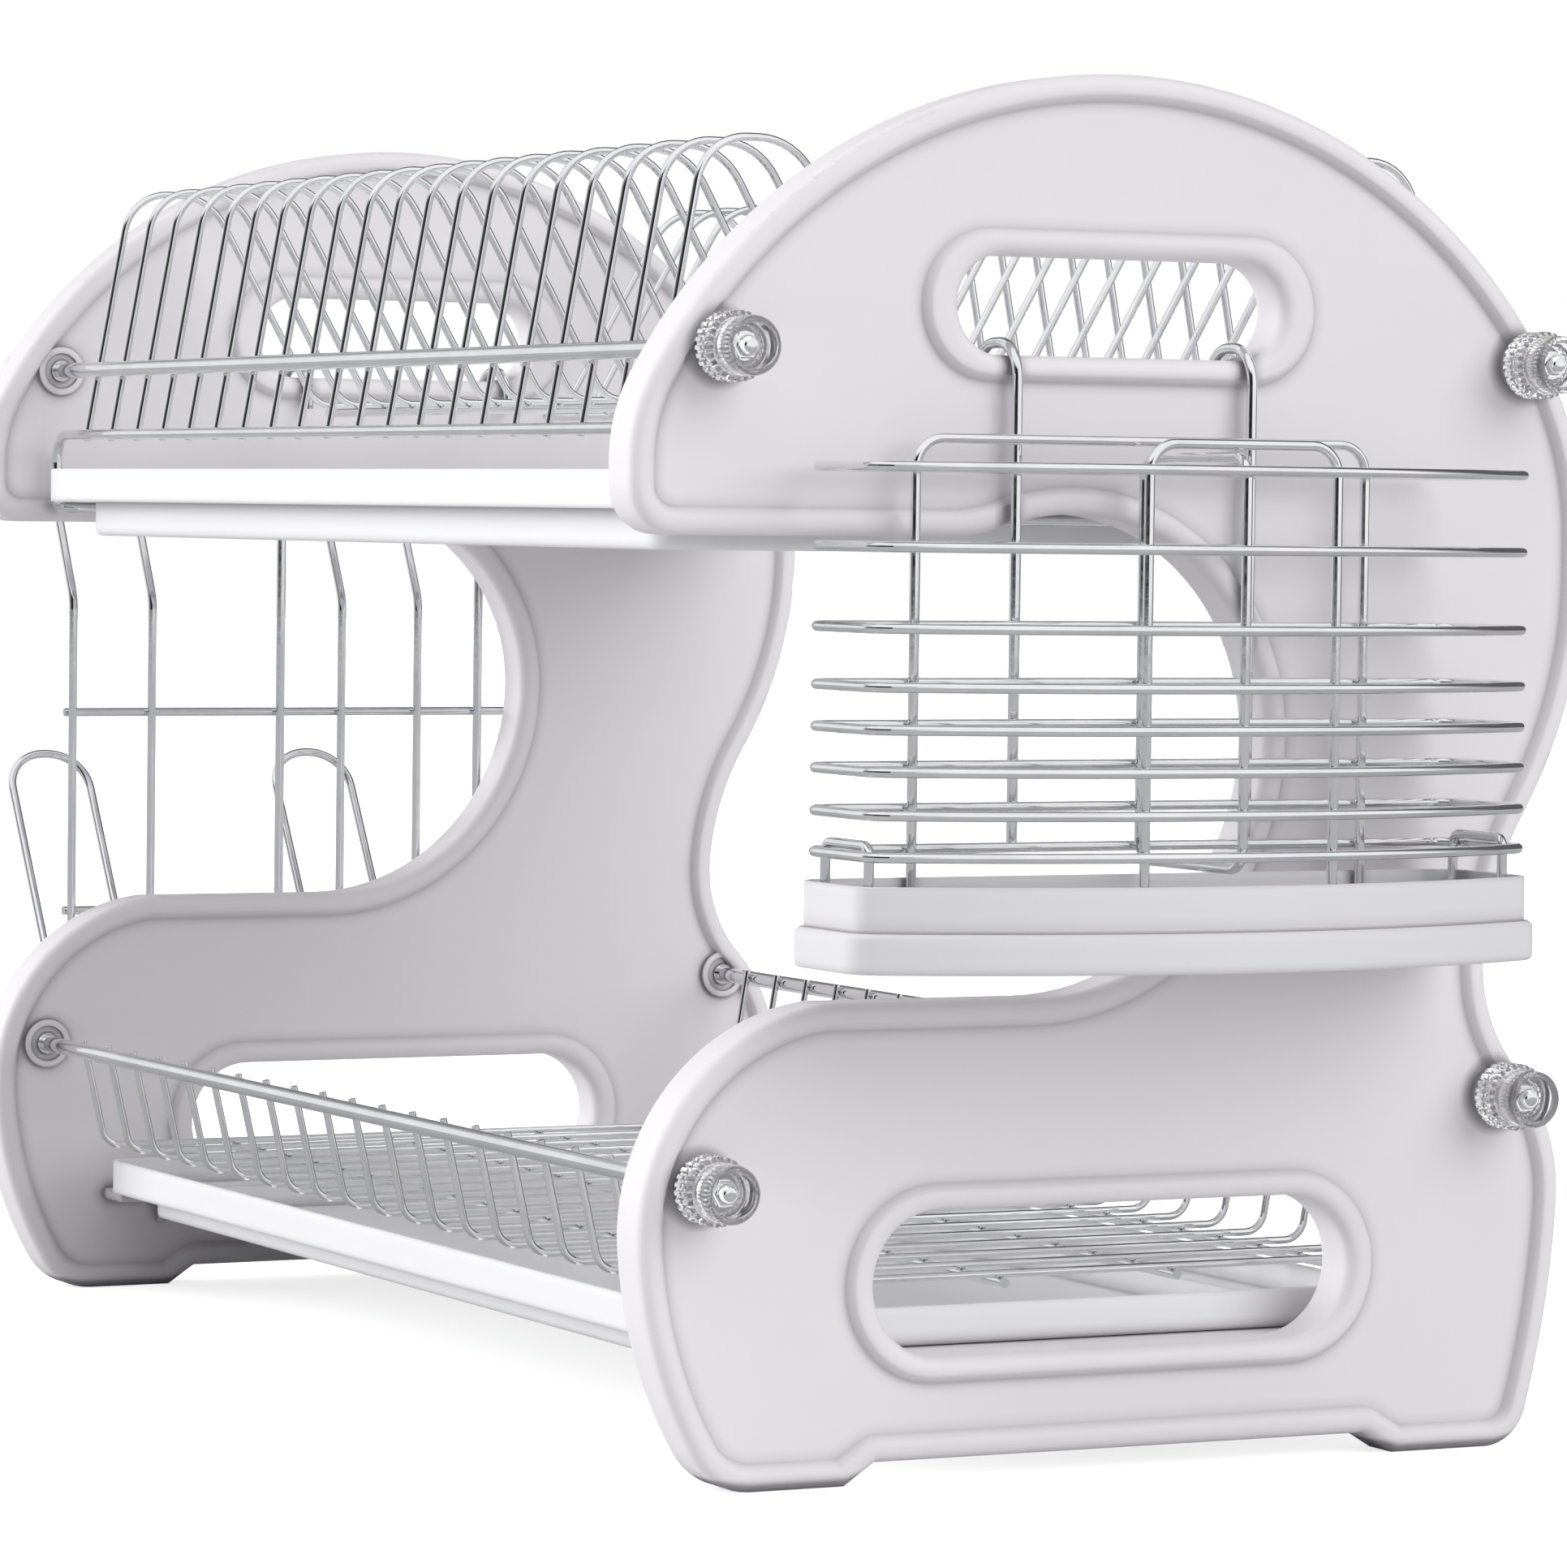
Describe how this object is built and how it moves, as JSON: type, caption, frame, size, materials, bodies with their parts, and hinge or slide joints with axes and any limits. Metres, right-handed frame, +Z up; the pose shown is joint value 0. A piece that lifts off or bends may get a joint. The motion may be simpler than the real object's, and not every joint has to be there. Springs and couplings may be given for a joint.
{
  "type": "two-tier dish rack",
  "caption": "Two-tier dish rack with moulded end panels, wire plate rack above, wire shelf below, pull-out drip trays, a hanging utensil holder and a hanging cup rack.",
  "frame": {"origin": "on the surface that the feet stand on, under the middle of the rack's bounding box", "axes": "+Z up, -Y the open front that the trays pull out of, +X the end that carries the utensil holder"},
  "size_m": [0.6492, 0.299, 0.3808],
  "materials": {
    "panel_plastic": "satin white with a faint cool tint",
    "tray_plastic": "smooth white",
    "cup_plastic": "smooth pale grey",
    "chrome_wire": "bright plated",
    "clear_plastic": "clear, polished"
  },
  "bodies": {
    "frame": {"left_end_panel": "panel_plastic", "right_end_panel": "panel_plastic", "upper_front_tie_rod": "chrome_wire", "upper_rear_tie_rod": "chrome_wire", "lower_front_tie_rod": "chrome_wire", "lower_rear_tie_rod": "chrome_wire", "rod_sleeves": "chrome_wire", "upper_rack_front_arches": "chrome_wire", "upper_rack_rear_arches": "chrome_wire", "upper_rack_floor_wires": "chrome_wire", "upper_rack_front_rail": "chrome_wire", "upper_rack_rear_rail": "chrome_wire", "upper_rack_support_rails": "chrome_wire", "upper_tray_hangers": "chrome_wire", "upper_tray_runners": "chrome_wire", "lower_rack_front_uprights": "chrome_wire", "lower_rack_rear_uprights": "chrome_wire", "lower_rack_floor_wires": "chrome_wire", "lower_rack_long_wires": "chrome_wire"},
    "upper_tray": {"upper_drip_tray": "tray_plastic"},
    "lower_tray": {"lower_drip_tray": "tray_plastic"},
    "utensil_holder": {"holder_hang_hooks": "chrome_wire", "holder_back_wires": "chrome_wire", "holder_end_wires": "chrome_wire", "holder_front_wires": "chrome_wire", "holder_back_arch": "chrome_wire", "holder_front_arch": "chrome_wire", "holder_divider": "chrome_wire", "holder_floor_loop": "chrome_wire", "holder_floor_bars": "chrome_wire"},
    "utensil_tray": {"utensil_drip_tray": "cup_plastic"},
    "cup_rack": {"cup_rack_loops": "chrome_wire", "cup_rack_upper_bar": "chrome_wire", "cup_rack_lower_bar": "chrome_wire", "cup_rack_hang_hooks": "chrome_wire"},
    "right_upper_front_knob_body": {"right_upper_front_knob": "clear_plastic", "right_upper_front_nut": "chrome_wire"},
    "right_upper_rear_knob_body": {"right_upper_rear_knob": "clear_plastic", "right_upper_rear_nut": "chrome_wire"},
    "right_lower_front_knob_body": {"right_lower_front_knob": "clear_plastic", "right_lower_front_nut": "chrome_wire"},
    "right_lower_rear_knob_body": {"right_lower_rear_knob": "clear_plastic", "right_lower_rear_nut": "chrome_wire"},
    "left_upper_front_knob_body": {"left_upper_front_knob": "clear_plastic", "left_upper_front_nut": "chrome_wire"},
    "left_upper_rear_knob_body": {"left_upper_rear_knob": "clear_plastic", "left_upper_rear_nut": "chrome_wire"},
    "left_lower_front_knob_body": {"left_lower_front_knob": "clear_plastic", "left_lower_front_nut": "chrome_wire"},
    "left_lower_rear_knob_body": {"left_lower_rear_knob": "clear_plastic", "left_lower_rear_nut": "chrome_wire"}
  },
  "joints": [
    {"name": "upper_tray_pull", "type": "slide", "parent": "frame", "child": "upper_tray", "axis": [0, -1, 0], "range_m": [0, 0.24]},
    {"name": "lower_tray_pull", "type": "slide", "parent": "frame", "child": "lower_tray", "axis": [0, -1, 0], "range_m": [0, 0.2]},
    {"name": "utensil_holder_lift", "type": "slide", "parent": "frame", "child": "utensil_holder", "axis": [0, 0, 1], "range_m": [0, 0.02]},
    {"name": "utensil_tray_drop", "type": "slide", "parent": "utensil_holder", "child": "utensil_tray", "axis": [0, 0, -1], "range_m": [0, 0.05]},
    {"name": "cup_rack_lift", "type": "slide", "parent": "frame", "child": "cup_rack", "axis": [0, 0, 1], "range_m": [0, 0.02]},
    {"name": "right_upper_front_knob_turn", "type": "hinge", "parent": "frame", "child": "right_upper_front_knob_body", "pos_m": [0.265, -0.12329, 0.30449], "axis": [1, 0, 0], "continuous": true},
    {"name": "right_upper_rear_knob_turn", "type": "hinge", "parent": "frame", "child": "right_upper_rear_knob_body", "pos_m": [0.265, 0.128, 0.30449], "axis": [1, 0, 0], "continuous": true},
    {"name": "right_lower_front_knob_turn", "type": "hinge", "parent": "frame", "child": "right_lower_front_knob_body", "pos_m": [0.265, -0.12651, 0.08199], "axis": [1, 0, 0], "continuous": true},
    {"name": "right_lower_rear_knob_turn", "type": "hinge", "parent": "frame", "child": "right_lower_rear_knob_body", "pos_m": [0.265, 0.12269, 0.09969], "axis": [1, 0, 0], "continuous": true},
    {"name": "left_upper_front_knob_turn", "type": "hinge", "parent": "frame", "child": "left_upper_front_knob_body", "pos_m": [-0.265, -0.12329, 0.30449], "axis": [-1, 0, 0], "continuous": true},
    {"name": "left_upper_rear_knob_turn", "type": "hinge", "parent": "frame", "child": "left_upper_rear_knob_body", "pos_m": [-0.265, 0.128, 0.30449], "axis": [-1, 0, 0], "continuous": true},
    {"name": "left_lower_front_knob_turn", "type": "hinge", "parent": "frame", "child": "left_lower_front_knob_body", "pos_m": [-0.265, -0.12651, 0.08199], "axis": [-1, 0, 0], "continuous": true},
    {"name": "left_lower_rear_knob_turn", "type": "hinge", "parent": "frame", "child": "left_lower_rear_knob_body", "pos_m": [-0.265, 0.12269, 0.09969], "axis": [-1, 0, 0], "continuous": true}
  ]
}
